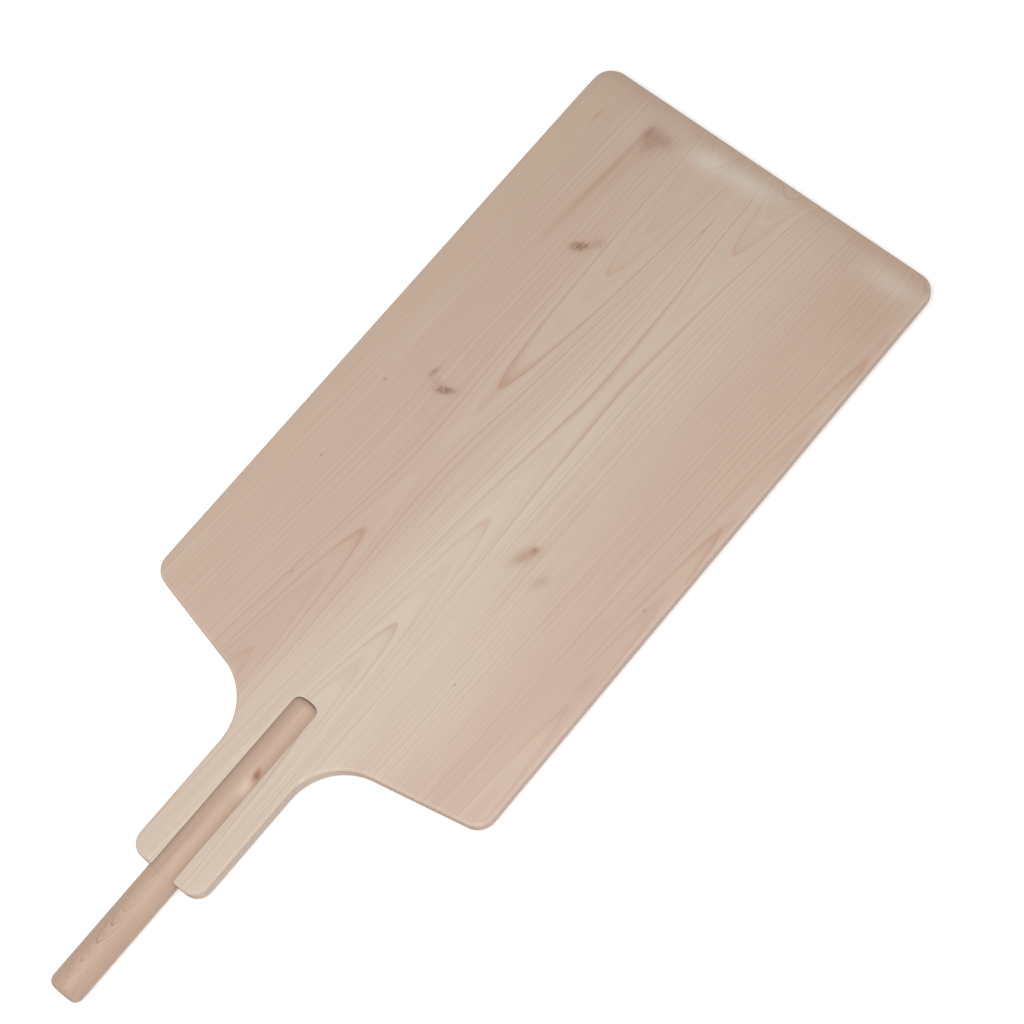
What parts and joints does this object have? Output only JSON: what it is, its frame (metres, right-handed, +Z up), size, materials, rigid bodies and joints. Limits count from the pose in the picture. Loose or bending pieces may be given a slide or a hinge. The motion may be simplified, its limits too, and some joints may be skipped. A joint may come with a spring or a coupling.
{
  "type": "pizza peel",
  "caption": "Flat wooden pizza peel: long rectangular blade with sloping shoulders, a narrow neck and a short round dowel handle set into it.",
  "frame": {"origin": "under the middle of the whole length, level with the lowest line of the dowel", "axes": "+X from the handle to the front of the blade, +Y to the blade's left, +Z up out of the top face"},
  "size_m": [0.757, 0.3, 0.0254],
  "materials": {
    "blade_wood": "bare, fine sanded",
    "handle_wood": "bare, fine sanded"
  },
  "bodies": {
    "root": {"blade_board": "blade_wood", "handle_dowel": "handle_wood"}
  },
  "joints": []
}
